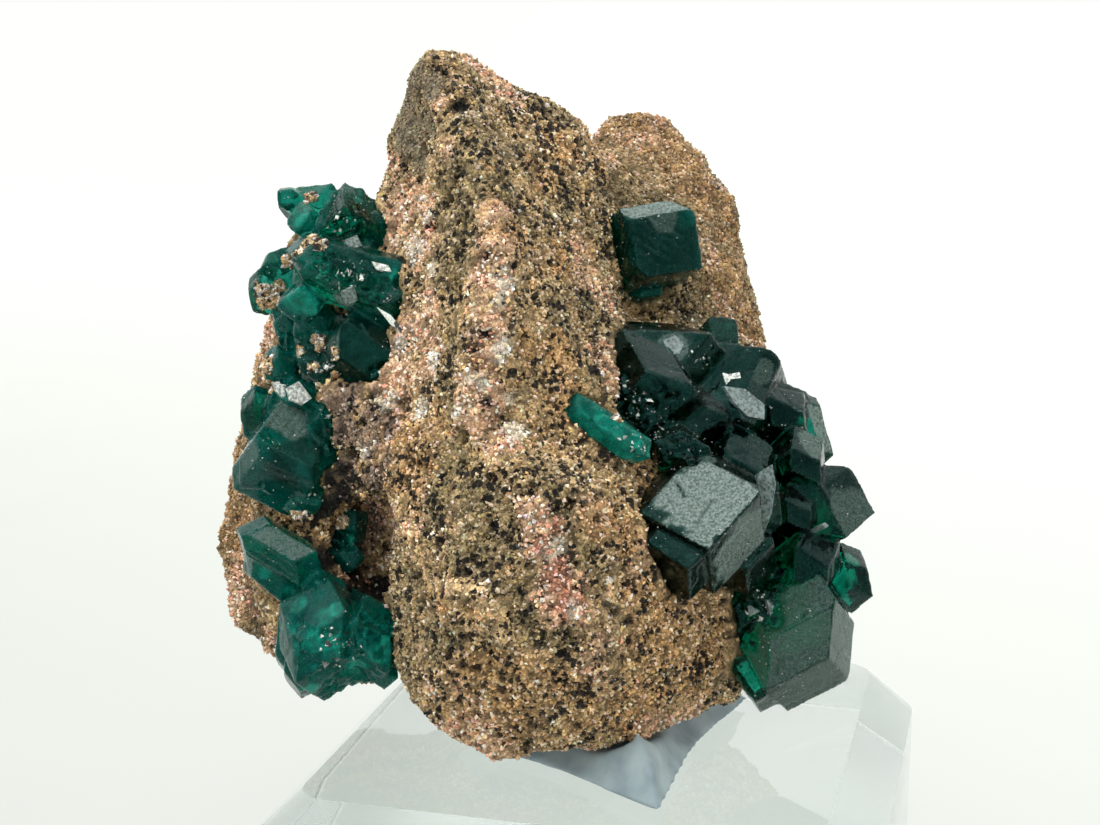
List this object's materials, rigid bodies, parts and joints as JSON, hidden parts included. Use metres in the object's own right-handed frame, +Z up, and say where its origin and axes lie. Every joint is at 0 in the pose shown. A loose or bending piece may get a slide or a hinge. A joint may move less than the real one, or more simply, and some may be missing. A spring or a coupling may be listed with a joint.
{
  "type": "dioptase specimen",
  "caption": "Dark green dioptase crystals grown in clusters on a gritty tan sandstone matrix, set with putty on a clear bevelled display block.",
  "frame": {"origin": "centre of the display block's underside", "axes": "+Z up, +X to the right and +Y to the back of the specimen as it is seen from its front"},
  "size_m": [0.0653, 0.059, 0.0781],
  "materials": {
    "sandstone": "rough granular rock",
    "dioptase": "vitreous, deep bluish green, clear in thin pieces",
    "putty": "smooth and matte",
    "clear_block": "clear and polished"
  },
  "bodies": {
    "root": {"matrix_rock": "sandstone", "crystal_cluster_right": "dioptase", "crystal_green_splinter": "dioptase", "crystal_upper_right": "dioptase", "crystal_cluster_left": "dioptase", "crystal_cluster_lower_left": "dioptase", "crystal_pocket_druse": "dioptase", "putty": "putty", "display_block": "clear_block"}
  },
  "joints": []
}
